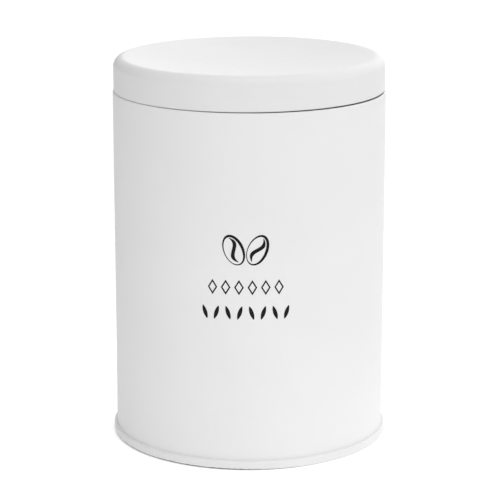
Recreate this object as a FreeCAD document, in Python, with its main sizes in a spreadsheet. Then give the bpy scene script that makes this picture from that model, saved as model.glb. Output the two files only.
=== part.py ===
"""Coffee tin: a round tinplate canister with a flush slip lid and a press-in inner lid.

The body is a rolled and welded cylinder. Its upper end is necked in, so that the lid slides over
the neck and sits flush with the wall. The bottom is a stamped end, double seamed to the wall.
The origin is the centre of the base, and +Z is up. All sizes are in millimetres.
"""

import FreeCAD, Part
import math
import os

import Sketcher
from FreeCAD import Vector

DIMENSIONS = [
    # the wall
    ("wall_r", 49.7, "outside radius of the cylindrical wall"),
    ("sheet", 0.28, "thickness of the tinplate"),
    ("shoulder_z", 128.62, "height at which the wall steps in to the neck"),
    ("shoulder_bend", 0.45, "outside bend of the shoulder"),
    ("neck_bend", 0.4, "bend from the shoulder up into the neck"),
    ("neck_r", 48.15, "outside radius of the neck"),
    ("mouth_z", 139.2, "height of the rolled mouth"),
    ("mouth_curl", 1.4, "radial width of the rolled mouth"),
    ("mouth_bend", 0.65, "outside bend of the rolled mouth"),
    ("mouth_leg", 1.2, "height of the rolled mouth's inner leg"),
    ("weld_w", 3.0, "width of the side weld's lap"),
    ("weld_inset", 0.15, "how far the lap stands in from the wall"),
    ("weld_proud", 0.12, "how far the lap stands out from the wall"),
    ("weld_z0", 5.0, "lower end of the visible lap"),
    ("weld_z1", 127.6, "upper end of the visible lap"),
    # the bottom end and its double seam
    ("seam_gap", 0.08, "gap between neighbouring layers of the seam"),
    ("seam_z", 3.2, "height of the double seam"),
    ("seam_bend", 0.48, "outside bend of a hook"),
    ("seam_roll", 0.8, "outside bend of the seam's outer foot"),
    ("seam_foot", 0.5, "outside bend of the seam's inner foot"),
    ("body_hook_z", 2.4, "height that the wall's hook reaches"),
    ("hook_bend", 0.2, "inside bend of the wall's hook"),
    ("end_hook_z", 1.2, "height that the end's hook reaches down to"),
    ("sink_z", 4.4, "underside of the countersink ring"),
    ("sink_w", 2.26, "radial width of the countersink ring"),
    ("sink_bend", 0.4, "bend of the countersink ring"),
    ("panel_z", 3.4, "underside of the bottom panel"),
    ("ring_r0", 36.0, "outer radius of the stiffening ring"),
    ("ring_r1", 26.0, "inner radius of the stiffening ring"),
    ("ring_rise", 0.8, "height of the stiffening ring"),
    ("ring_bend", 0.42, "larger bend of the stiffening ring"),
    ("compound_play", 0.06, "play round the sealing compound"),
    ("compound_rise", 0.35, "height of the sealing compound"),
    # the lid
    ("lid_r", 49.4, "outside radius of the lid"),
    ("lid_z0", 128.98, "lower edge of the lid"),
    ("lid_z1", 141.3, "crest of the lid's rim"),
    ("lid_round", 3.5, "radius of the lid's rim"),
    ("dish", 4.0, "depth of the dished top below the crest"),
    ("hem_w", 1.0, "radial width of the lid's hem"),
    ("hem_bend", 0.42, "outside bend of the lid's hem"),
    ("hem_leg", 2.1, "height of the hem's inner leg"),
    # the inner lid
    ("pan_sheet", 0.4, "thickness of the inner lid"),
    ("pan_z", 118.6, "underside of the inner lid's floor"),
    ("pan_r", 46.0, "outside radius of the inner lid's wall"),
    ("pan_round", 2.0, "bend between the inner lid's wall and floor"),
    ("seat_r", 45.4, "outside radius of the gasket's seat"),
    ("seat_z", 134.8, "lower end of the gasket's seat"),
    ("flange_r", 47.3, "outside radius of the flange"),
    ("flange_z", 139.3, "underside of the flange"),
    ("flange_bend", 0.3, "bend under the flange"),
    ("gasket_play", 0.03, "play between the gasket and its seat"),
    ("gasket_r", 46.0, "outside radius of the gasket between its lips"),
    ("lip_r", 46.5, "radius of the gasket's lips"),
    ("lip_pitch", 2.1, "distance between the gasket's lips"),
    ("lip_half", 0.55, "half the height of a lip"),
    ("lip_z", 135.8, "height of the lower lip"),
    # the knob and its screw
    ("stem_r", 6.0, "radius of the knob's stem"),
    ("knob_r", 10.0, "radius of the knob's head"),
    ("knob_z", 127.6, "underside of the knob's head"),
    ("knob_top", 135.0, "top of the knob"),
    ("knob_round", 2.6, "round of the knob's top edge"),
    ("knob_bend", 1.2, "rounds under the knob's head"),
    ("bore_r", 1.5, "radius of the knob's blind hole"),
    ("bore_z", 128.6, "end of the knob's blind hole"),
    ("hole_r", 1.8, "radius of the hole in the inner lid"),
    ("screw_r", 1.45, "radius of the screw's shank"),
    ("screw_z", 127.2, "tip of the screw"),
    ("head_r", 3.0, "radius of the screw's head"),
    ("head_h", 1.8, "height of the screw's head"),
    ("head_round", 0.8, "round of the screw's head"),
    ("slot_l", 3.6, "length of each arm of the cross recess"),
    ("slot_w", 0.8, "width of the cross recess"),
    ("slot_d", 0.9, "depth of the cross recess"),
    ("washer_r", 3.6, "radius of the sealing washer"),
    ("washer_h", 0.8, "thickness of the sealing washer"),
]
SHEET = "Dimensions"
NEAR = 1e-9


class Size:
    """A length, as its number and as the expression that gives it from the spreadsheet."""

    def __init__(self, text, number):
        self.text = text
        self.number = number

    def __add__(self, other):
        return Size(f"({self.text} + {other.text})", self.number + other.number)

    def __sub__(self, other):
        return Size(f"({self.text} - {other.text})", self.number - other.number)


AXIS = Size("0 mm", 0.0)


def make_sheet(doc):
    """The spreadsheet, and each of its cells as a Size, by alias."""
    cells = doc.addObject("Spreadsheet::Sheet", SHEET)
    sizes = {}
    for row, (alias, number, meaning) in enumerate(DIMENSIONS, start=1):
        cells.set(f"A{row}", alias)
        cells.set(f"B{row}", str(number))
        cells.set(f"C{row}", meaning)
        cells.setAlias(f"B{row}", alias)
        sizes[alias] = Size(f"{SHEET}.{alias} * 1 mm", number)
    doc.recompute()
    return sizes


def origin_plane(body, role):
    """One of a body's own origin planes."""
    return next(f for f in body.Origin.OriginFeatures if f.Role == role)


class Section:
    """A closed half section in a body's XZ plane, with every size bound to the spreadsheet."""

    def __init__(self, body):
        self.body = body
        self.sketch = body.newObject("Sketcher::SketchObject", body.Name + "_section")
        self.sketch.AttachmentSupport = (origin_plane(body, "XZ_Plane"), [""])
        self.sketch.MapMode = "FlatFace"

    def line(self, start, end):
        first, last = Vector(start[0], start[1], 0), Vector(end[0], end[1], 0)
        return self.sketch.addGeometry(Part.LineSegment(first, last), False)

    def arc(self, centre, radius, start_angle, end_angle):
        circle = Part.Circle(Vector(centre[0], centre[1], 0), Vector(0, 0, 1), radius)
        return self.sketch.addGeometry(Part.ArcOfCircle(circle, start_angle, end_angle), False)

    def tie(self, kind, *where):
        return self.sketch.addConstraint(Sketcher.Constraint(kind, *where))

    def bind(self, kind, size, *where):
        """A dimension of that kind, whose value comes from the spreadsheet."""
        index = self.tie(kind, *where, size.number)
        self.sketch.setExpression(f"Constraints[{index}]", size.text)

    def at_x(self, size, item, point):
        if abs(size.number) < NEAR:
            self.tie("PointOnObject", item, point, -2)
        else:
            self.bind("DistanceX", size, -1, 1, item, point)

    def at_z(self, size, item, point):
        if abs(size.number) < NEAR:
            self.tie("PointOnObject", item, point, -1)
        else:
            self.bind("DistanceY", size, -1, 1, item, point)

    def revolve(self):
        turned = self.body.newObject("PartDesign::Revolution", self.body.Name + "_turned")
        turned.Profile = self.sketch
        turned.ReferenceAxis = (self.sketch, ["V_Axis"])
        turned.Angle = 360.0
        self.sketch.Visibility = False
        return turned


def turn(before, corner, after):
    """+1 where the outline turns left at a corner, -1 where it turns right."""
    first = (corner[0] - before[0], corner[1] - before[1])
    second = (after[0] - corner[0], after[1] - corner[1])
    return math.copysign(1.0, first[0] * second[1] - first[1] * second[0])


def step(start, end):
    """The unit vector from one point to another."""
    length = math.dist(start, end)
    return ((end[0] - start[0]) / length, (end[1] - start[1]) / length)


def draw_run(section, corners, closed):
    """Draws a run of corners, each (x, z, bend or None), and binds all its sizes.

    Bent corners join upright and level lines only. Returns each line's item number.
    """
    points = [(x.number, z.number) for x, z, _ in corners]
    count = len(corners)
    last = count if closed else count - 1
    bends = [bend.number if bend else 0.0 for _, _, bend in corners]
    lines = []
    for i in range(last):
        j = (i + 1) % count
        way = step(points[i], points[j])
        start = (points[i][0] + bends[i] * way[0], points[i][1] + bends[i] * way[1])
        end = (points[j][0] - bends[j] * way[0], points[j][1] - bends[j] * way[1])
        lines.append(section.line(start, end))
        if not bends[i] and not bends[j]:
            continue
        upright = abs(way[0]) < NEAR
        section.tie("Vertical" if upright else "Horizontal", lines[i])
        if bends[i] and bends[j]:
            if upright:
                section.at_x(corners[i][0], lines[i], 1)
            else:
                section.at_z(corners[i][1], lines[i], 1)
    for i, (x, z, bend) in enumerate(corners):
        inner = closed or 0 < i < count - 1
        into, out = lines[(i - 1) % len(lines)], lines[i % len(lines)]
        if not bend:
            if inner:
                section.tie("Coincident", into, 2, out, 1)
            item, point = (into, 2) if i == count - 1 and not closed else (out, 1)
            section.at_x(x, item, point)
            section.at_z(z, item, point)
            continue
        draw_bend(section, points[i - 1], points[i], points[(i + 1) % count], bend, into, out)
    return lines


def draw_bend(section, before, corner, after, bend, into, out):
    """Rounds the corner between two lines with an arc that is tangent to both."""
    radius, side = bend.number, turn(before, corner, after)
    a, b = step(before, corner), step(corner, after)
    enter = (corner[0] - radius * a[0], corner[1] - radius * a[1])
    centre = (enter[0] - side * radius * a[1], enter[1] + side * radius * a[0])
    leave = (corner[0] + radius * b[0], corner[1] + radius * b[1])
    ends = [math.atan2(p[1] - centre[1], p[0] - centre[0]) for p in (enter, leave)]
    if side < 0:
        ends.reverse()
    if ends[1] < ends[0]:
        ends[1] += 2 * math.pi
    arc = section.arc(centre, radius, *ends)
    entry, exit_ = (1, 2) if side > 0 else (2, 1)
    section.tie("Tangent", into, 2, arc, entry)
    section.tie("Tangent", arc, exit_, out, 1)
    section.bind("Radius", bend, arc)


def other_face(path, sheet, side):
    """The corners of a bent sheet's other face, from those of the first.

    side is +1 where the metal lies left of the path's direction, -1 where it lies right of it.
    Every line of the path is upright or level, and the path's ends are square.
    """
    points = [(x.number, z.number) for x, z, _ in path]
    found = []
    for i, (x, z, bend) in enumerate(path):
        shift_x = shift_z = 0
        for j in (i - 1, i):
            if not 0 <= j < len(path) - 1:
                continue
            way = step(points[j], points[j + 1])
            if abs(way[0]) < NEAR:
                shift_x = -side * round(way[1])
            else:
                shift_z = side * round(way[0])
        if bend:
            inside = turn(points[i - 1], points[i], points[i + 1]) == side
            bend = bend - sheet if inside else bend + sheet
        found.append((shifted(x, sheet, shift_x), shifted(z, sheet, shift_z), bend))
    return found


def shifted(size, by, way):
    """size moved by another size: up for way 1, down for way -1, and not at all for 0."""
    return size + by if way > 0 else size - by if way < 0 else size


def new_body(doc, name):
    body = doc.addObject("PartDesign::Body", name)
    body.Label = name
    return body


def turned_part(doc, name, corners):
    """A sub-part turned from one closed outline."""
    body = new_body(doc, name)
    section = Section(body)
    draw_run(section, corners, closed=True)
    section.revolve()
    return body


def sheet_part(doc, name, path, sheet, side):
    """A sub-part turned from a bent sheet of constant thickness."""
    return turned_part(doc, name, path + other_face(path, sheet, side)[::-1])


def make_body_wall(doc, s):
    """The welded cylinder: hook, wall, shoulder, neck and rolled mouth."""
    hook_r = s["wall_r"] + s["seam_gap"] + s["sheet"] + s["seam_gap"]
    hook_z = s["sheet"] + s["seam_gap"] + s["sheet"]
    curl_r = s["neck_r"] - s["mouth_curl"]
    path = [
        (hook_r, s["body_hook_z"], None),
        (hook_r, hook_z, s["hook_bend"]),
        (s["wall_r"], hook_z, s["hook_bend"]),
        (s["wall_r"], s["shoulder_z"], s["shoulder_bend"]),
        (s["neck_r"], s["shoulder_z"], s["neck_bend"]),
        (s["neck_r"], s["mouth_z"], s["mouth_bend"]),
        (curl_r, s["mouth_z"], s["mouth_bend"]),
        (curl_r, s["mouth_z"] - s["mouth_leg"], None),
    ]
    body = sheet_part(doc, "body_wall", path, s["sheet"], side=1)
    add_side_weld(body, s)
    return body


def add_side_weld(body, s):
    """The lap of the welded side joint, a low strip up the back of the wall, inside and out."""
    lap = body.newObject("PartDesign::AdditiveBox", "side_weld")
    inner = s["wall_r"] - s["sheet"] - s["weld_inset"]
    lap.setExpression("Length", s["weld_w"].text)
    lap.setExpression("Width", (s["wall_r"] + s["weld_proud"] - inner).text)
    lap.setExpression("Height", (s["weld_z1"] - s["weld_z0"]).text)
    lap.setExpression("Placement.Base.x", f"-{s['weld_w'].text} / 2")
    lap.setExpression("Placement.Base.y", inner.text)
    lap.setExpression("Placement.Base.z", s["weld_z0"].text)


def seam_outer(s):
    """Outside radius of the double seam: three layers and three gaps out from the wall."""
    layer = s["seam_gap"] + s["sheet"]
    return s["wall_r"] + layer + layer + layer


def make_bottom_end(doc, s):
    """The stamped end: hook, seam, countersink ring, panel and stiffening ring."""
    hook_r = s["wall_r"] + s["seam_gap"]
    chuck_r = s["wall_r"] - s["sheet"] - s["seam_gap"] - s["sheet"]
    sink_r = chuck_r - s["sink_w"]
    small_bend = s["ring_bend"] - s["sheet"]
    ring_z = s["panel_z"] + s["ring_rise"]
    path = [
        (hook_r, s["end_hook_z"], None),
        (hook_r, s["seam_z"], s["seam_bend"]),
        (seam_outer(s), s["seam_z"], s["seam_bend"]),
        (seam_outer(s), AXIS, s["seam_roll"]),
        (chuck_r, AXIS, s["seam_foot"]),
        (chuck_r, s["sink_z"], s["sink_bend"]),
        (sink_r, s["sink_z"], s["sink_bend"]),
        (sink_r, s["panel_z"], s["seam_foot"]),
        (s["ring_r0"], s["panel_z"], s["ring_bend"]),
        (s["ring_r0"], ring_z, small_bend),
        (s["ring_r1"], ring_z, small_bend),
        (s["ring_r1"], s["panel_z"], s["ring_bend"]),
        (AXIS, s["panel_z"], None),
    ]
    return sheet_part(doc, "bottom_end", path, s["sheet"], side=-1)


def make_seam_compound(doc, s):
    """The ring of sealing compound that the double seam is rolled round."""
    inner = s["wall_r"] + s["seam_gap"] + s["sheet"] + s["compound_play"]
    outer = seam_outer(s) - s["sheet"] - s["compound_play"]
    low = s["body_hook_z"] + s["gasket_play"]
    high = low + s["compound_rise"]
    corners = [(inner, low, None), (outer, low, None), (outer, high, None), (inner, high, None)]
    return turned_part(doc, "seam_compound", corners)


def make_lid_shell(doc, s):
    """The drawn lid: a dished top, a rounded rim, a straight skirt and a hemmed lower edge."""
    body = new_body(doc, "lid_shell")
    section = Section(body)
    hem_r = s["lid_r"] - s["hem_w"]
    skirt = [
        (s["lid_r"], s["lid_z1"] - s["lid_round"], None),
        (s["lid_r"], s["lid_z0"], s["hem_bend"]),
        (hem_r, s["lid_z0"], s["hem_bend"]),
        (hem_r, s["lid_z0"] + s["hem_leg"], None),
    ]
    inside = other_face(skirt, s["sheet"], side=-1)
    outer_skirt = draw_skirt(section, skirt)
    inner_skirt = draw_skirt(section, inside)
    edge = section.line(*[(c[-1][0].number, c[-1][1].number) for c in (skirt, inside)])
    section.tie("Coincident", outer_skirt[-1], 2, edge, 1)
    section.tie("Coincident", inner_skirt[-1], 2, edge, 2)
    rim = (s["lid_r"].number - s["lid_round"].number, s["lid_z1"].number - s["lid_round"].number)
    outer = draw_top(section, rim, s, 0.0, outer_skirt[0])
    inner = draw_top(section, rim, s, s["sheet"].number, inner_skirt[0])
    section.bind("Radius", s["lid_round"], outer[1])
    section.at_z(s["lid_z1"] - s["lid_round"], outer[1], 3)
    section.at_z(s["lid_z1"] - s["dish"], outer[0], 1)
    for dish_or_rim in (0, 1):
        section.tie("Coincident", outer[dish_or_rim], 3, inner[dish_or_rim], 3)
    middle = s["lid_z1"].number - s["dish"].number
    axis = section.line((0.0, middle), (0.0, middle - s["sheet"].number))
    section.tie("PointOnObject", outer[0], 3, -2)
    section.tie("Coincident", outer[0], 1, axis, 1)
    section.tie("Coincident", inner[0], 1, axis, 2)
    section.tie("PointOnObject", axis, 1, -2)
    section.tie("PointOnObject", axis, 2, -2)
    section.revolve()
    return body


def draw_skirt(section, corners):
    """One face of the lid's skirt and hem. Its upper end is left to the rim's arc."""
    (x, _, _), *bent, (end_x, end_z, _) = corners
    points = [(c[0].number, c[1].number) for c in corners]
    lines = []
    for i in range(len(points) - 1):
        way = step(points[i], points[i + 1])
        back = bent[i - 1][2].number if i else 0.0
        fore = bent[i][2].number if i < len(bent) else 0.0
        start = (points[i][0] + back * way[0], points[i][1] + back * way[1])
        end = (points[i + 1][0] - fore * way[0], points[i + 1][1] - fore * way[1])
        lines.append(section.line(start, end))
        section.tie("Vertical" if abs(way[0]) < NEAR else "Horizontal", lines[i])
    for i, (_, _, bend) in enumerate(bent):
        draw_bend(section, points[i], points[i + 1], points[i + 2], bend, lines[i], lines[i + 1])
    section.at_x(x, lines[0], 1)
    section.at_z(bent[0][1], lines[1], 1)
    section.at_x(end_x, lines[-1], 2)
    section.at_z(end_z, lines[-1], 2)
    return lines


def draw_top(section, rim, s, inset, skirt_line):
    """One face of the lid's top: the dish's arc from the axis, then the rim's arc to the skirt."""
    depth, rounding = s["dish"].number, s["lid_round"].number
    bottom = s["lid_z1"].number - depth
    rise = rim[1] - bottom
    dish_r = (rim[0] ** 2 + rise**2 - rounding**2) / (2 * depth)
    lean = math.atan2(rim[0], bottom + dish_r - rim[1])
    centre = (0.0, bottom + dish_r)
    dish = section.arc(centre, dish_r + inset, -math.pi / 2, -math.pi / 2 + lean)
    round_ = section.arc(rim, rounding - inset, 0.0, math.pi / 2 + lean)
    section.tie("Tangent", dish, 2, round_, 2)
    section.tie("Tangent", round_, 1, skirt_line, 1)
    return dish, round_


def make_inner_lid_pan(doc, s):
    """The pressed inner lid: a flange on the mouth, a gasket seat, a wall and a sunk floor."""
    path = [
        (s["flange_r"], s["flange_z"], None),
        (s["seat_r"], s["flange_z"], s["flange_bend"]),
        (s["seat_r"], s["seat_z"], None),
        (s["pan_r"], s["seat_z"], None),
        (s["pan_r"], s["pan_z"], s["pan_round"]),
        (s["hole_r"], s["pan_z"], None),
    ]
    return sheet_part(doc, "inner_lid_pan", path, s["pan_sheet"], side=-1)


def make_inner_lid_gasket(doc, s):
    """The silicone ring on the seat, with two soft lips that meet the rolled mouth."""
    inner = s["seat_r"] + s["gasket_play"]
    low = s["seat_z"] + s["gasket_play"]
    high = s["flange_z"] - s["gasket_play"]
    corners = [(inner, low, None), (s["gasket_r"], low, None)]
    for middle in (s["lip_z"], s["lip_z"] + s["lip_pitch"]):
        corners.append((s["gasket_r"], middle - s["lip_half"], None))
        corners.append((s["lip_r"], middle, None))
        corners.append((s["gasket_r"], middle + s["lip_half"], None))
    corners.append((s["gasket_r"], high, None))
    corners.append((inner, high, s["flange_bend"]))
    return turned_part(doc, "inner_lid_gasket", corners)


def floor_top(s):
    """Height of the inner lid's floor, on its upper face."""
    return s["pan_z"] + s["pan_sheet"]


def make_inner_lid_knob(doc, s):
    """The turned knob, with a blind hole for its screw."""
    corners = [
        (s["bore_r"], floor_top(s), None),
        (s["stem_r"], floor_top(s), None),
        (s["stem_r"], s["knob_z"], s["knob_bend"]),
        (s["knob_r"], s["knob_z"], s["knob_bend"]),
        (s["knob_r"], s["knob_top"], s["knob_round"]),
        (AXIS, s["knob_top"], None),
        (AXIS, s["bore_z"], None),
        (s["bore_r"], s["bore_z"], None),
    ]
    return turned_part(doc, "inner_lid_knob", corners)


def make_knob_screw(doc, s):
    """The screw that holds the knob from below, with a cross recess in its head."""
    seat = s["pan_z"] - s["washer_h"]
    head = seat - s["head_h"]
    corners = [
        (AXIS, head, None),
        (s["head_r"], head, s["head_round"]),
        (s["head_r"], seat, None),
        (s["screw_r"], seat, None),
        (s["screw_r"], s["screw_z"], None),
        (AXIS, s["screw_z"], None),
    ]
    body = turned_part(doc, "knob_screw", corners)
    for name, across, along in (("recess_x", "slot_l", "slot_w"), ("recess_y", "slot_w", "slot_l")):
        arm = body.newObject("PartDesign::SubtractiveBox", name)
        arm.setExpression("Length", s[across].text)
        arm.setExpression("Width", s[along].text)
        arm.setExpression("Height", s["slot_d"].text)
        arm.setExpression("Placement.Base.x", f"-{s[across].text} / 2")
        arm.setExpression("Placement.Base.y", f"-{s[along].text} / 2")
        arm.setExpression("Placement.Base.z", head.text)
    return body


def make_knob_washer(doc, s):
    """The soft washer that seals the screw's hole under the inner lid."""
    low = s["pan_z"] - s["washer_h"]
    corners = [
        (s["hole_r"], low, None),
        (s["washer_r"], low, None),
        (s["washer_r"], s["pan_z"], None),
        (s["hole_r"], s["pan_z"], None),
    ]
    return turned_part(doc, "knob_washer", corners)


MAKERS = [
    make_body_wall,
    make_bottom_end,
    make_seam_compound,
    make_lid_shell,
    make_inner_lid_pan,
    make_inner_lid_gasket,
    make_inner_lid_knob,
    make_knob_screw,
    make_knob_washer,
]


def check(doc, parts):
    """Stops the build if any object failed or any sub-part has no sound solid."""
    failed = [o.Name for o in doc.Objects if {"Invalid", "Error"} & set(o.State)]
    if failed:
        raise RuntimeError(f"these objects failed to build: {failed}")
    for part in parts:
        shape = part.Shape
        if shape.isNull() or not shape.isValid() or len(shape.Solids) != 1:
            raise RuntimeError(f"{part.Label} has no single valid solid")


def main():
    doc = FreeCAD.newDocument("coffee_tin")
    sizes = make_sheet(doc)
    parts = [make(doc, sizes) for make in MAKERS]
    doc.recompute()
    check(doc, parts)
    os.makedirs("parts", exist_ok=True)
    for part in parts:
        box = part.Shape.BoundBox
        print(f"{part.Label}: {part.Shape.Volume:.2f} mm3, z {box.ZMin:.2f} to {box.ZMax:.2f}")
        part.Shape.exportStep(f"parts/{part.Label}.step")


main()
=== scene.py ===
import math

import bmesh
import bpy
from mathutils import Matrix, Vector


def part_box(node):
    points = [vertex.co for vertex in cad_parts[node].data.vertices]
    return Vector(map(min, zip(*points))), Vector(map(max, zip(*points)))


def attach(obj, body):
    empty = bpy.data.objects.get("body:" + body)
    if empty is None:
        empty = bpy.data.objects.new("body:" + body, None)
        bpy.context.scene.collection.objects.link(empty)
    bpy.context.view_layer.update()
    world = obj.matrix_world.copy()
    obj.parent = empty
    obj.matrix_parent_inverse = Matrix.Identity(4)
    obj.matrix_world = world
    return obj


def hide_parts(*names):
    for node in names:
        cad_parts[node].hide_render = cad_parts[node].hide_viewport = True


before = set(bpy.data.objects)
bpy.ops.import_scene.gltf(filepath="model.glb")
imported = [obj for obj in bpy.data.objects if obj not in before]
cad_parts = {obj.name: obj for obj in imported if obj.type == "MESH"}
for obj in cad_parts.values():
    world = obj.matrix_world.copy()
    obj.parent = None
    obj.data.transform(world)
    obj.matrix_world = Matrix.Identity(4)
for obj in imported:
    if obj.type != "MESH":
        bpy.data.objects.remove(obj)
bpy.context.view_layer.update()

MM = 0.001
TURN = 2 * math.pi
AROUND = 256  # steps round a turned piece
FINE = 0.12 * MM  # how far a support ring stands from the bend beside it, at most


# ---------------------------------------------------------------- sizes
# model.glb gives the outer sizes. The rest are the metal's own thicknesses, gaps and bends.

SHEET = 0.28 * MM
SEAM_GAP = 0.08 * MM  # between neighbouring layers of the double seam
SEAM_LAYER = SHEET + SEAM_GAP
SEAM_Z, SEAM_BEND = 3.2 * MM, 0.48 * MM  # the seam's height, and the bends at its top
SEAM_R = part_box("bottom_end")[1].x
WALL_R = SEAM_R - 3 * SEAM_LAYER
MOUTH_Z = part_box("body_wall")[1].z
NECK_R = WALL_R - 1.55 * MM

lid_low, lid_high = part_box("lid_shell")
LID_R, LID_LOW, LID_TOP = lid_high.x, lid_low.z, lid_high.z
SHOULDER_Z = LID_LOW - 0.25 * MM

pan_low, pan_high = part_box("inner_lid_pan")
PAN_SHEET = 0.4 * MM
PAN_LOW, FLANGE_R, FLANGE_TOP = pan_low.z, pan_high.x, pan_high.z

knob_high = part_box("inner_lid_knob")[1]
KNOB_R, KNOB_TOP = knob_high.x, knob_high.z


# ---------------------------------------------------------------- outlines of revolved parts

def turn(before, corner, after):
    """+1 where an outline turns left at a corner, -1 where it turns right."""
    ax, az = corner[0] - before[0], corner[1] - before[1]
    bx, bz = after[0] - corner[0], after[1] - corner[1]
    return math.copysign(1.0, ax * bz - az * bx)


def unit(start, end):
    """The direction from one point to another, as (r, z) of length 1."""
    length = math.dist(start[:2], end[:2])
    return (end[0] - start[0]) / length, (end[1] - start[1]) / length


def reach(path, i, closed):
    """How far the bend of a corner reaches along the lines beside it, and the angle that it turns by."""
    r, z, bend = path[i]
    if not bend or (not closed and i in (0, len(path) - 1)):
        return 0.0, 0.0
    a, b = unit(path[i - 1], (r, z)), unit((r, z), path[(i + 1) % len(path)])
    cross, dot = a[0] * b[1] - a[1] * b[0], a[0] * b[0] + a[1] * b[1]
    angle = math.atan2(cross, dot)
    return bend * math.tan(abs(angle) / 2), angle


def bent(path, steps=6, closed=False):
    """The points of a run of corners (r, z, bend). Each bend is rounded, with a support point beside it.

    A support point takes at most 0.4 of the straight that is left between two bends, so that
    the points of neighbouring bends never pass each other.
    """
    points = []
    count = len(path)
    reaches = [reach(path, i, closed) for i in range(count)]
    for i, (r, z, bend) in enumerate(path):
        own, angle = reaches[i]
        if not own:
            points.append((r, z))
            continue
        before, after = path[i - 1], path[(i + 1) % count]
        a, b = unit(before, (r, z)), unit((r, z), after)
        side = math.copysign(1.0, angle)
        free_in = math.dist(before[:2], (r, z)) - own - reaches[i - 1][0]
        free_out = math.dist(after[:2], (r, z)) - own - reaches[(i + 1) % count][0]
        support_in, support_out = min(FINE, 0.4 * free_in), min(FINE, 0.4 * free_out)
        enter = (r - own * a[0], z - own * a[1])
        centre = (enter[0] - side * bend * a[1], enter[1] + side * bend * a[0])
        start = math.atan2(enter[1] - centre[1], enter[0] - centre[0])
        points.append((enter[0] - support_in * a[0], enter[1] - support_in * a[1]))
        for k in range(steps + 1):
            t = start + angle * k / steps
            points.append((centre[0] + bend * math.cos(t), centre[1] + bend * math.sin(t)))
        points.append((r + (own + support_out) * b[0], z + (own + support_out) * b[1]))
    return points


def other_face(path, thick, side):
    """The corners of a bent sheet's other face. side is +1 where the metal lies left of the path.

    Every run of the path is upright or level.
    """
    found = []
    for i, (r, z, bend) in enumerate(path):
        dr = dz = 0.0
        for j in (i - 1, i):
            if not 0 <= j < len(path) - 1:
                continue
            way = unit(path[j], path[j + 1])
            if abs(way[0]) < 1e-6:
                dr = -side * way[1] * thick
            else:
                dz = side * way[0] * thick
        if bend:
            inside = turn(path[i - 1], path[i], path[i + 1]) == side
            bend = bend - thick if inside else bend + thick
        found.append((r + dr, z + dz, bend))
    return found


def sheet_outline(path, thick, side):
    """(points, number of them on the first face) of a sheet bent along a path."""
    first = bent(path)
    second = bent(other_face(path, thick, side))[::-1]
    return first + second, len(first)


# ---------------------------------------------------------------- meshes

def angles(count, extra=()):
    """Even angles round the axis, and the extra ones."""
    even = {round(TURN * k / count, 9) for k in range(count)}
    return sorted(even | {round(a % TURN, 9) for a in extra})


def new_piece(name, bm, materials):
    """The object that a bmesh becomes, with its faces turned outwards."""
    bmesh.ops.recalc_face_normals(bm, faces=bm.faces)
    mesh = bpy.data.meshes.new(name)
    bm.to_mesh(mesh)
    bm.free()
    for material in materials:
        mesh.materials.append(material)
    piece = bpy.data.objects.new(name, mesh)
    bpy.context.collection.objects.link(piece)
    return piece


def lathe(name, outline, materials, index=None, around=None, shift=None, flat=()):
    """A closed mesh turned from an outline of (r, z). index gives the material of each outline step.

    shift gives how far a point (r, angle, z) stands outwards. The steps in flat aren't shaded
    smooth, so that they don't pull at the shading of the steps beside them.
    """
    around = around or angles(AROUND)
    bm = bmesh.new()
    rings = []
    for r, z in outline:
        if r < 1e-9:
            rings.append([bm.verts.new((0, 0, z))])
            continue
        ring = []
        for a in around:
            rr = r + (shift(r, a, z) if shift else 0.0)
            ring.append(bm.verts.new((rr * math.cos(a), rr * math.sin(a), z)))
        rings.append(ring)
    total = len(around)
    for i, one in enumerate(rings):
        two = rings[(i + 1) % len(rings)]
        if len(one) == 1 and len(two) == 1:
            continue
        for k in range(total):
            n = (k + 1) % total
            if len(one) == 1:
                verts = (one[0], two[n], two[k])
            elif len(two) == 1:
                verts = (one[k], one[n], two[0])
            else:
                verts = (one[k], one[n], two[n], two[k])
            face = bm.faces.new(verts)
            face.smooth = i not in flat
            face.material_index = index(i) if index else 0
    return new_piece(name, bm, materials)


def settle(piece, body, slot, *nodes):
    """The piece rides on a body and stands for those CAD nodes, which it hides; slot is not used."""
    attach(piece, body)
    if nodes:
        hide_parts(*nodes)
    return piece


# ---------------------------------------------------------------- materials

class Wires:
    """Short calls to add arithmetic to a node tree."""

    def __init__(self, tree):
        self.tree = tree

    def link(self, source, target):
        self.tree.links.new(source, target)

    def math(self, operation, *values):
        node = self.tree.nodes.new("ShaderNodeMath")
        node.operation = operation
        for socket, value in zip(node.inputs, values):
            if isinstance(value, (int, float)):
                socket.default_value = value
            else:
                self.link(value, socket)
        return node.outputs["Value"]


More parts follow.
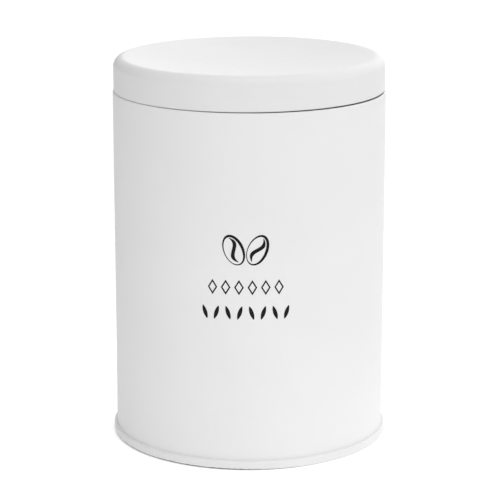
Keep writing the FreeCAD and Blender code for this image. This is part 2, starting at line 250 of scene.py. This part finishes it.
class Nodes(Wires):
    """A new material's node tree, with short calls to add nodes to it."""

    def __init__(self, name):
        self.material = bpy.data.materials.new(name)
        self.material.use_nodes = True
        super().__init__(self.material.node_tree)
        self.shader = self.tree.nodes["Principled BSDF"]
        self.place = self.tree.nodes.new("ShaderNodeTexCoord").outputs["Object"]

    def noise(self, scale, detail=2.0, place=None):
        node = self.tree.nodes.new("ShaderNodeTexNoise")
        node.inputs["Scale"].default_value = scale
        node.inputs["Detail"].default_value = detail
        self.link(place or self.place, node.inputs["Vector"])
        return node.outputs["Fac"]

    def stretched(self, scale):
        """The object's coordinates, scaled along each axis."""
        node = self.tree.nodes.new("ShaderNodeMapping")
        node.inputs["Scale"].default_value = scale
        self.link(self.place, node.inputs["Vector"])
        return node.outputs["Vector"]

    def range(self, source, low, high, source_low=0.3, source_high=0.7):
        """source, mapped to low and high, by default from the middle of a noise's spread."""
        node = self.tree.nodes.new("ShaderNodeMapRange")
        node.inputs["From Min"].default_value = source_low
        node.inputs["From Max"].default_value = source_high
        node.inputs["To Min"].default_value = low
        node.inputs["To Max"].default_value = high
        self.link(source, node.inputs["Value"])
        return node.outputs["Result"]

    def colours(self, source, dark, light):
        """A colour between two, as source goes from 0.3 to 0.7."""
        node = self.tree.nodes.new("ShaderNodeValToRGB")
        node.color_ramp.elements[0].position = 0.3
        node.color_ramp.elements[1].position = 0.7
        node.color_ramp.elements[0].color = (*dark, 1)
        node.color_ramp.elements[1].color = (*light, 1)
        self.link(source, node.inputs["Fac"])
        return node.outputs["Color"]

    def mix(self, amount, one, two):
        """One colour where amount is 0, and the other where it is 1."""
        node = self.tree.nodes.new("ShaderNodeMix")
        node.data_type = "RGBA"
        first, second = [socket for socket in node.inputs if socket.type == "RGBA"]
        [mixed] = [socket for socket in node.outputs if socket.type == "RGBA"]
        self.link(amount, node.inputs["Factor"])
        self.link(one, first)
        self.link(two, second)
        return mixed

    def bump(self, source, distance, normal=None):
        node = self.tree.nodes.new("ShaderNodeBump")
        node.inputs["Strength"].default_value = 1.0
        node.inputs["Distance"].default_value = distance
        self.link(source, node.inputs["Height"])
        if normal:
            self.link(normal, node.inputs["Normal"])
        return node.outputs["Normal"]

    def surface(self, colour, roughness, normal):
        for name, source in (("Base Color", colour), ("Roughness", roughness), ("Normal", normal)):
            self.link(source, self.shader.inputs[name])

    def set(self, **values):
        for name, value in values.items():
            self.shader.inputs[name.replace("_", " ")].default_value = value


def grey(level):
    return (level, level, level)


def white_coat(name, white, painted_shadow_z=None):
    """A matte white powder coat: faint mottling, fine orange peel and a soft uneven sheen.

    Given a height, it paints a contact shadow along the foot below it: a dark grey band, full on the
    left and fading out towards the right, where the light is stronger.
    """
    m = Nodes(name)
    colour = m.colours(m.noise(28.0, 3.0), grey(white - 0.01), grey(white + 0.01))
    roughness = m.range(m.noise(420.0, 3.0), 0.46, 0.56)
    # painted contact shadow: a dark grey band along the foot, full on the left, none on the far right
    if painted_shadow_z:
        place = m.tree.nodes.new("ShaderNodeSeparateXYZ")
        m.link(m.place, place.inputs[0])
        share = m.range(place.outputs["X"], 1.0, 0.0, -5 * MM, 28 * MM)
        height = m.range(m.noise(700.0, 3.0), painted_shadow_z * 0.8, painted_shadow_z * 1.2)
        painted_shadow = m.math("LESS_THAN", place.outputs["Z"], m.math("MULTIPLY", share, height))
        colour = m.mix(painted_shadow, colour, m.colours(m.noise(1500.0), grey(0.08), grey(0.16)))
    peel = m.bump(m.noise(900.0, 2.0), 0.010 * MM)
    m.surface(colour, roughness, m.bump(m.noise(5200.0, 1.0), 0.0025 * MM, normal=peel))
    m.set(Specular_IOR_Level=0.35)
    return m.material


def tinplate():
    """Bright tinplate with the fine grain of rolled steel."""
    m = Nodes("tinplate")
    m.set(Metallic=1.0)
    grain = m.noise(1.0, 4.0, place=m.stretched((2600.0, 2600.0, 160.0)))
    m.surface(
        colour=m.colours(m.noise(60.0, 4.0), (0.70, 0.70, 0.69), (0.79, 0.79, 0.78)),
        roughness=m.range(grain, 0.30, 0.38),
        normal=m.bump(grain, 0.0008 * MM),
    )
    return m.material


def silicone():
    """Milky silicone rubber."""
    m = Nodes("silicone")
    m.surface(
        colour=m.colours(m.noise(300.0), (0.74, 0.74, 0.72), (0.82, 0.82, 0.80)),
        roughness=m.range(m.noise(900.0), 0.38, 0.5),
        normal=m.bump(m.noise(2500.0), 0.01 * MM),
    )
    m.set(Subsurface_Weight=0.25, Subsurface_Scale=2 * MM)
    return m.material


def knob_plastic():
    """Moulded white plastic with a fine spark-eroded texture."""
    m = Nodes("knob_plastic")
    m.surface(
        colour=m.colours(m.noise(120.0), (0.80, 0.80, 0.79), (0.84, 0.84, 0.83)),
        roughness=m.range(m.noise(1500.0), 0.42, 0.54),
        normal=m.bump(m.noise(3200.0, 2.0), 0.02 * MM),
    )
    return m.material


def screw_steel():
    """Zinc-plated steel."""
    m = Nodes("screw_steel")
    m.set(Metallic=1.0)
    m.surface(
        colour=m.colours(m.noise(900.0, 3.0), (0.5, 0.5, 0.5), (0.66, 0.66, 0.65)),
        roughness=m.range(m.noise(1800.0), 0.25, 0.4),
        normal=m.bump(m.noise(2600.0), 0.006 * MM),
    )
    return m.material


def compound():
    """Grey can-sealing compound."""
    m = Nodes("sealing_compound")
    m.surface(
        colour=m.colours(m.noise(800.0), (0.38, 0.38, 0.36), (0.48, 0.48, 0.46)),
        roughness=m.range(m.noise(1500.0), 0.6, 0.8),
        normal=m.bump(m.noise(2500.0), 0.02 * MM),
    )
    return m.material


def ink():
    """Matte black screen-printing ink, a little uneven."""
    m = Nodes("print_ink")
    m.surface(
        colour=m.colours(m.noise(1600.0, 3.0), grey(0.006), grey(0.014)),
        roughness=m.range(m.noise(2400.0), 0.5, 0.66),
        normal=m.bump(m.noise(5200.0), 0.004 * MM),
    )
    m.set(Specular_IOR_Level=0.08)
    return m.material


WHITE = white_coat("white_coat", 0.725)
# the lid's coat is a shade darker than the wall's: painted shade, so that the lid shows darker than the
# wall below it
LID_WHITE = white_coat("white_coat_lid", 0.700)
# the base's coat: a shade darker than the wall's, which paints the shade near the floor, and with a
# painted contact shadow along its foot
FOOT = white_coat("white_coat_foot_painted_shadow", 0.706, painted_shadow_z=0.5 * MM)
TIN = tinplate()
SILICONE = silicone()
PLASTIC = knob_plastic()
SCREW = screw_steel()
COMPOUND = compound()
INK = ink()


# ---------------------------------------------------------------- the tin

WELD_LOW, WELD_HIGH = 5.0 * MM, SHOULDER_Z - 1.0 * MM
WELD_HALF, WELD_STEP, WELD_EDGE = 1.5 * MM, 0.12 * MM, 0.25 * MM


def weld(r, angle, z):
    """How far the side weld's lap, up the back, stands off the cylinder's outer and inner face."""
    if not WELD_LOW < z < WELD_HIGH or r < WALL_R - 1.0 * MM:
        return 0.0
    across = abs(angle - TURN / 4) * WALL_R
    step = min(max((WELD_HALF - across) / WELD_EDGE + 0.5, 0.0), 1.0)
    lift = WELD_STEP if r > WALL_R - SHEET / 2 else -WELD_STEP
    return lift * step * step * (3 - 2 * step)


def weld_angles():
    """The angles of close columns along both edges of the weld's lap."""
    offsets = [-0.2 * MM, -0.1 * MM, 0, 0.1 * MM, 0.2 * MM]
    return [TURN / 4 + side * (WELD_HALF + offset) / WALL_R for side in (-1, 1) for offset in offsets]


def wall_heights():
    """Heights of the wall's extra rings: an even spread, and close pairs at the ends of the weld."""
    steps = 16
    even = [WELD_LOW + (WELD_HIGH - WELD_LOW) * k / steps for k in range(steps + 1)]
    return sorted(even + [WELD_LOW + 0.3 * MM, WELD_HIGH - 0.3 * MM])


def with_rings(outline, first, heights):
    """The outline with extra points at those heights on both faces of the wall."""
    found, count = [], 0
    for i, (r, z) in enumerate(outline):
        found.append((r, z))
        next_r, next_z = outline[(i + 1) % len(outline)]
        if abs(next_r - r) < 1e-9 and abs(next_z - z) > MOUTH_Z / 3:  # only the cylinder is that long
            between = [h for h in heights if min(z, next_z) < h < max(z, next_z)]
            between = between if next_z > z else between[::-1]
            found += [(r, h) for h in between]
            count += len(between) if i < first else 0
    return found, first + count


def make_wall():
    """The rolled sheet: hook, cylinder, shoulder, neck and rolled mouth."""
    hook_r, hook_z, hook_top = WALL_R + SEAM_LAYER + SEAM_GAP, SHEET + SEAM_LAYER, 2.4 * MM
    curl_r, curl_z = NECK_R - 1.4 * MM, MOUTH_Z - 1.2 * MM
    path = [
        (hook_r, hook_top, 0),
        (hook_r, hook_z, 0.2 * MM),
        (WALL_R, hook_z, 0.2 * MM),
        (WALL_R, SHOULDER_Z, 0.45 * MM),
        (NECK_R, SHOULDER_Z, 0.4 * MM),
        (NECK_R, MOUTH_Z, 0.65 * MM),
        (curl_r, MOUTH_Z, 0.65 * MM),
        (curl_r, curl_z, 0),
    ]
    outline, first = with_rings(*sheet_outline(path, SHEET, 1), wall_heights())

    def bare(i):
        """The coat stops at the shoulder, so that the lid slides on bare tinplate."""
        return int(i >= first or outline[i][0] < WALL_R - 0.4 * MM)

    wall = lathe("tin_wall", outline, [WHITE, TIN], bare, angles(AROUND, weld_angles()), weld)
    return settle(wall, "tin", "white_coat", "body_wall")


def make_base():
    """The stamped bottom: hook, seam, countersink ring, panel and stiffening ring."""
    hook_r, hook_low = WALL_R + SEAM_GAP, 1.2 * MM
    chuck_r = WALL_R - SHEET - SEAM_LAYER
    sink_r, sink_z = chuck_r - 2.26 * MM, 4.4 * MM
    panel_z, ring_z = 3.4 * MM, 4.2 * MM
    ring_outer, ring_inner = 36.0 * MM, 26.0 * MM
    ring_foot, ring_top = 0.42 * MM, 0.14 * MM
    path = [
        (hook_r, hook_low, 0),
        (hook_r, SEAM_Z, SEAM_BEND),
        (SEAM_R, SEAM_Z, SEAM_BEND),
        (SEAM_R, 0.0, 0.8 * MM),
        (chuck_r, 0.0, 0.5 * MM),
        (chuck_r, sink_z, 0.4 * MM),
        (sink_r, sink_z, 0.4 * MM),
        (sink_r, panel_z, 0.5 * MM),
        (ring_outer, panel_z, ring_foot),
        (ring_outer, ring_z, ring_top),
        (ring_inner, ring_z, ring_top),
        (ring_inner, panel_z, ring_foot),
        (0.0, panel_z, 0),
    ]
    outline, first = sheet_outline(path, SHEET, -1)
    base = lathe("tin_base", outline, [FOOT, TIN], lambda i: int(i >= first))
    return settle(base, "tin", "white_coat", "bottom_end")


def make_seam_fillet():
    """The coat that bridges the crease between the wall and the top of the double seam."""
    radius, steps = 0.25 * MM, 8
    hook_r, hook_z = WALL_R + SEAM_GAP + SEAM_BEND, SEAM_Z - SEAM_BEND
    run = hook_r - WALL_R - radius
    drop = math.sqrt((SEAM_BEND + radius) ** 2 - run**2)
    centre_r, centre_z = WALL_R + radius, hook_z + drop
    meeting = math.atan2(-drop, run)  # where the bead's round meets the bend of the hook
    top, low = centre_z + 0.15 * MM, hook_z + 0.2 * MM
    outline = [(WALL_R - 0.02 * MM, top)]
    for k in range(steps + 1):
        t = -math.pi + (meeting + math.pi) * k / steps
        outline.append((centre_r + radius * math.cos(t), centre_z + radius * math.sin(t)))
    buried = [
        (hook_r - 0.06 * MM, SEAM_Z - 0.02 * MM),
        (WALL_R + 0.12 * MM, low),
        (WALL_R - 0.05 * MM, low),
        (WALL_R - 0.05 * MM, top),
    ]
    outline += buried
    fillet = lathe("seam_fillet", outline, [WHITE], flat=range(len(outline) - len(buried), len(outline)))
    return settle(fillet, "tin", "white_coat")


# ---------------------------------------------------------------- the lid

LID_ROUND, DISH = 3.5 * MM, 4.0 * MM
LID_ASKEW = math.radians(0.28)  # pressed on by hand, the lid sits a hair higher on its right
TILT_Z = LID_LOW + 6 * MM  # height of the point on the axis that it tilts about


def lid_face(inset):
    """The outline of one face of the lid's top, from the axis to where its rim meets the skirt."""
    steps = 24
    rim_r, rim_z = LID_R - LID_ROUND, LID_TOP - LID_ROUND
    bottom = LID_TOP - DISH
    rise = rim_z - bottom
    dish_r = (rim_r**2 + rise**2 - LID_ROUND**2) / (2 * DISH)
    centre = bottom + dish_r
    lean = math.atan2(rim_r, centre - rim_z)
    large, small = dish_r + inset, LID_ROUND - inset
    points = []
    for k in range(steps + 1):
        t = lean * k / steps
        points.append((large * math.sin(t), centre - large * math.cos(t)))
    for k in range(1, steps + 1):
        t = (math.pi / 2 + lean) * (1 - k / steps)
        points.append((rim_r + small * math.cos(t), rim_z + small * math.sin(t)))
    return points


def make_lid():
    """The slip lid: dished top, rounded rim, and a skirt whose lower edge is folded inwards."""
    hem_r, hem_top, hem_bend = LID_R - 1.0 * MM, LID_LOW + 2.1 * MM, 0.42 * MM
    skirt = [
        (LID_R, LID_TOP - LID_ROUND, 0),
        (LID_R, LID_LOW, hem_bend),
        (hem_r, LID_LOW, hem_bend),
        (hem_r, hem_top, 0),
    ]
    outer = lid_face(0.0) + bent(skirt)[1:]
    inner = lid_face(SHEET) + bent(other_face(skirt, SHEET, -1))[1:]
    lid = lathe("lid", outer + inner[::-1], [LID_WHITE, TIN], lambda i: int(i >= len(outer)))
    pivot = Matrix.Translation((0, 0, TILT_Z))
    lid.data.transform(pivot @ Matrix.Rotation(-LID_ASKEW, 4, "Y") @ pivot.inverted())
    return settle(lid, "lid", "white_coat", "lid_shell")


# ---------------------------------------------------------------- the inner lid

def make_pan():
    """The pressed pan: flange, seat of the gasket, wall and floor with the screw's hole."""
    wall_r, seat_r, hole_r = 46.0 * MM, 45.4 * MM, 1.8 * MM
    seat_z, flange_z = PAN_LOW + 16.2 * MM, FLANGE_TOP - PAN_SHEET
    path = [
        (FLANGE_R, flange_z, 0),
        (seat_r, flange_z, 0.3 * MM),
        (seat_r, seat_z, 0),
        (wall_r, seat_z, 0),
        (wall_r, PAN_LOW, 2.0 * MM),
        (hole_r, PAN_LOW, 0),
    ]
    outline, _ = sheet_outline(path, PAN_SHEET, -1)
    pan = lathe("inner_lid", outline, [TIN])
    return settle(pan, "inner_lid", "tinplate", "inner_lid_pan")


def make_knob():
    """The knob: a stem and a head with rounded edges, and a blind hole for the screw."""
    floor_z = PAN_LOW + PAN_SHEET
    head_z, bore_z = floor_z + 8.6 * MM, floor_z + 9.6 * MM
    stem_r, bore_r, bend = 6.0 * MM, 1.5 * MM, 1.2 * MM
    path = [
        (bore_r, floor_z, 0),
        (stem_r, floor_z, 0.2 * MM),
        (stem_r, head_z, bend),
        (KNOB_R, head_z, bend),
        (KNOB_R, KNOB_TOP, 2.6 * MM),
        (0.0, KNOB_TOP, 0),
        (0.0, bore_z, 0),
        (bore_r, bore_z, 0),
    ]
    knob = lathe("knob", bent(path, steps=10, closed=True), [PLASTIC], around=angles(AROUND // 2))
    return settle(knob, "inner_lid", "knob_plastic", "inner_lid_knob")


def dress(node, material):
    """A CAD node that stays as it is takes this material."""
    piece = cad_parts[node]
    for slot in piece.material_slots:
        slot.material = material
    if not piece.material_slots:
        piece.data.materials.append(material)


make_wall()
make_base()
make_seam_fillet()
make_lid()
make_pan()
make_knob()
dress("seam_compound", COMPOUND)
dress("inner_lid_gasket", SILICONE)
dress("knob_screw", SCREW)
dress("knob_washer", SILICONE)


# ---------------------------------------------------------------- the print on the front

PRINT_LIFT, PRINT_SINK = 0.035 * MM, 0.02 * MM
PRINT_SHIFT = -1.25 * MM  # the whole print sits this far round to the left


class Drawing:
    """Ink on the wall. Points are given flat, as (across, up), and bent round the wall's front."""

    def __init__(self):
        self.bm = bmesh.new()

    def point(self, across, up, lift):
        angle = (across + PRINT_SHIFT) / WALL_R
        r = WALL_R + lift
        return self.bm.verts.new((r * math.sin(angle), -r * math.cos(angle), up))

    def patch(self, columns, closed=False):
        """A closed, very thin solid over a grid of points, given as columns of equal length."""
        top = [[self.point(x, y, PRINT_LIFT) for x, y in column] for column in columns]
        low = [[self.point(x, y, -PRINT_SINK) for x, y in column] for column in columns]
        count, rows = len(columns), len(columns[0])
        for i in range(count if closed else count - 1):
            n = (i + 1) % count
            for k in range(rows - 1):
                self.bm.faces.new((top[i][k], top[n][k], top[n][k + 1], top[i][k + 1]))
                self.bm.faces.new((low[i][k], low[i][k + 1], low[n][k + 1], low[n][k]))
            self.bm.faces.new((top[i][0], low[i][0], low[n][0], top[n][0]))
            self.bm.faces.new((top[i][-1], top[n][-1], low[n][-1], low[i][-1]))
        if not closed:
            for k in range(rows - 1):
                self.bm.faces.new((top[0][k], top[0][k + 1], low[0][k + 1], low[0][k]))
                self.bm.faces.new((top[-1][k], low[-1][k], low[-1][k + 1], top[-1][k + 1]))

    def ring(self, outer, inner):
        """A closed stroke between two closed curves with the same number of points."""
        self.patch(list(zip(outer, inner)), closed=True)

    def piece(self):
        return new_piece("front_print", self.bm, [INK])


def placed(points, centre, lean):
    """Flat points, leaned clockwise and moved to a centre."""
    c, s = math.cos(lean), math.sin(lean)
    return [(centre[0] + x * c + y * s, centre[1] - x * s + y * c) for x, y in points]


def five_across(half, middle=0.0):
    """Five even places across a stroke, from -half to half about its middle."""
    return [middle + half * j / 2 for j in range(-2, 3)]


def bean(drawing, centre, width, height, lean):
    """A coffee bean, drawn like a pen stroke: an uneven outline and a wavy, tapered crease."""
    outline_steps, crease_steps, crease_end = 72, 32, 0.80
    outer, inner = [], []
    for k in range(outline_steps):
        a = TURN * k / outline_steps
        pen = (0.09 + 0.05 * math.cos(a - 0.5)) * width
        outer.append((math.cos(a) * width / 2, math.sin(a) * height / 2))
        inner.append((math.cos(a) * (width / 2 - pen), math.sin(a) * (height / 2 - pen)))
    drawing.ring(placed(outer, centre, lean), placed(inner, centre, lean))
    columns = []
    for k in range(crease_steps + 1):
        v = crease_end * (2 * k / crease_steps - 1)
        half = (0.02 + 0.09 * (1 - (v / crease_end) ** 2)) * width
        middle = 0.17 * width * math.sin(math.pi * v / 0.86)
        columns.append(placed([(x, v * height / 2) for x in five_across(half, middle)], centre, lean))
    drawing.patch(columns)


def lozenge(drawing, centre, width, height, stroke):
    """An upright lozenge in outline."""
    def edge(w, h):
        corners = [(w, 0), (0, h), (-w, 0), (0, -h)]
        points = []
        for i, (x, y) in enumerate(corners):
            next_x, next_y = corners[(i + 1) % 4]
            points += [(x + (next_x - x) * k / 4, y + (next_y - y) * k / 4) for k in range(4)]
        return placed(points, centre, 0.0)
    w, h = width / 2, height / 2
    slant = math.hypot(w, h)
    drawing.ring(edge(w, h), edge(w - stroke * slant / h, h - stroke * slant / w))


def leaf(drawing, centre, width, height, lean):
    """A slim leaf, narrow at both ends."""
    steps = 20
    columns = []
    for k in range(1, steps):
        v = 2 * k / steps - 1
        half = width / 2 * (1 - v * v)
        columns.append(placed([(x, v * height / 2) for x in five_across(half)], centre, lean))
    drawing.patch(columns)


def spread(count, pitch):
    """Even places across the front, about its middle."""
    return [(k - (count - 1) / 2) * pitch for k in range(count)]


def make_print():
    """Two beans, a row of lozenges under them, and a row of leaves under those."""
    beans_z, lozenges_z, leaves_z = 80.5 * MM, 67.05 * MM, 57.85 * MM
    drawing = Drawing()
    for side, x in zip((-1, 1), spread(2, 8.4 * MM)):
        bean(drawing, (x, beans_z), 7.2 * MM, 11.5 * MM, side * 0.42)
    for x in spread(6, 4.7 * MM):
        lozenge(drawing, (x, lozenges_z), 3.4 * MM, 5.5 * MM, 0.50 * MM)
    for k, x in enumerate(spread(8, 4.15 * MM)):
        leaf(drawing, (x, leaves_z), 1.45 * MM, 5.5 * MM, 0.32 if k % 2 else -0.32)
    return settle(drawing.piece(), "tin", "print_ink")


make_print()


# ---------------------------------------------------------------- floor, light and camera

FLOOR_GLOW, FLOOR_GLOW_NEAR = 0.05, 0.27  # everywhere, and added under the tin
FLOOR_GLOW_REACH = 0.3
WORLD_GLOW = 0.69
FOCAL_LENGTH, SENSOR = 155.6424, 36.0  # in millimetres, as the camera takes them
LOOKS_DOWN = math.radians(14.018)


def make_floor():
    """A plain white floor that glows faintly, a little more round the tin."""
    bpy.ops.mesh.primitive_plane_add(size=16, location=(0, 0, -0.02 * MM))
    floor = bpy.context.object
    floor.name = "floor"
    m = Nodes("floor")
    m.set(Base_Color=(0.85, 0.85, 0.85, 1), Roughness=0.9, Specular_IOR_Level=0.0)
    m.set(Emission_Color=(1, 1, 1, 1))
    distance = m.tree.nodes.new("ShaderNodeVectorMath")
    distance.operation = "LENGTH"
    m.link(m.place, distance.inputs[0])
    far = m.math("DIVIDE", distance.outputs["Value"], FLOOR_GLOW_REACH)
    fall = m.math("POWER", math.e, m.math("MULTIPLY", m.math("MULTIPLY", far, far), -1.0))
    glow = m.math("ADD", m.math("MULTIPLY", fall, FLOOR_GLOW_NEAR), FLOOR_GLOW)
    m.link(glow, m.shader.inputs["Emission Strength"])
    floor.data.materials.append(m.material)


def make_world():
    """A white studio: brighter overhead and on the right, darker on the left and behind."""
    world = bpy.data.worlds.new("studio")
    bpy.context.scene.world = world
    world.use_nodes = True
    wires = Wires(world.node_tree)
    way = wires.tree.nodes.new("ShaderNodeSeparateXYZ")
    wires.link(wires.tree.nodes.new("ShaderNodeTexCoord").outputs["Generated"], way.inputs[0])
    x, y, z = way.outputs
    right = wires.math("MAXIMUM", x, 0.0)
    left = wires.math("MAXIMUM", wires.math("MULTIPLY", x, -1.0), 0.0)
    back = wires.math("MAXIMUM", y, 0.0)
    above = wires.math("MAXIMUM", z, 0.0)
    lobes = [  # (side, power, weight): the higher the power, the narrower the lobe
        (right, 3, 0.50),
        (right, 8, 0.40),
        (left, 1, -0.47),
        (left, 6, -0.20),
        (back, 1, -0.32),
        (above, 1, 0.06),
        (above, 4, 0.76),
    ]
    glow = WORLD_GLOW
    for side, power, weight in lobes:
        lobe = wires.math("MULTIPLY", wires.math("POWER", side, power), weight)
        glow = wires.math("ADD", glow, lobe)
    background = wires.tree.nodes["Background"]
    background.inputs["Color"].default_value = (1, 1, 1, 1)
    wires.link(glow, background.inputs["Strength"])


def soft_light(name, azimuth, elevation, power, distance=1.6, size=1.2, aim_z=0.07):
    """A soft square light round the tin, in metres. Azimuth 0 is in front of it and 90 on its right."""
    lamp = bpy.data.lights.new(name, "AREA")
    lamp.shape, lamp.size, lamp.energy = "SQUARE", size, power
    light = bpy.data.objects.new(name, lamp)
    bpy.context.collection.objects.link(light)
    a, e = math.radians(azimuth), math.radians(elevation)
    way = Vector((math.sin(a) * math.cos(e), -math.cos(a) * math.cos(e), math.sin(e)))
    light.location = Vector((0, 0, aim_z)) + distance * way
    light.rotation_euler = (-way).to_track_quat("-Z", "Y").to_euler()
    light.visible_camera = False


def make_lights():
    """Three large lights, and two small ones close to the floor for the foot of the tin."""
    soft_light("key", azimuth=-10, elevation=60, power=5.2)
    soft_light("side", azimuth=115, elevation=25, power=1.75)
    soft_light("rear", azimuth=165, elevation=20, power=6.6)
    soft_light("low_left", azimuth=-35, elevation=0, power=0.0915, distance=0.4, size=0.2, aim_z=0.04)
    soft_light("low_front", azimuth=0, elevation=0, power=0.0952, distance=0.4, size=0.2, aim_z=0.04)


def make_camera():
    """The photograph's viewpoint: level from side to side, and looking down by 14 degrees."""
    lens = bpy.data.cameras.new("camera")
    lens.sensor_width = SENSOR
    lens.lens = FOCAL_LENGTH
    lens.clip_start, lens.clip_end = 0.01, 50
    camera = bpy.data.objects.new("camera", lens)
    bpy.context.collection.objects.link(camera)
    camera.location = (0.26 * MM, -778.6 * MM, 262.6 * MM)
    camera.rotation_euler = (math.pi / 2 - LOOKS_DOWN, 0, 0)
    bpy.context.scene.camera = camera


make_floor()
make_world()
make_lights()
make_camera()
bpy.context.scene.view_settings.view_transform = "Standard"
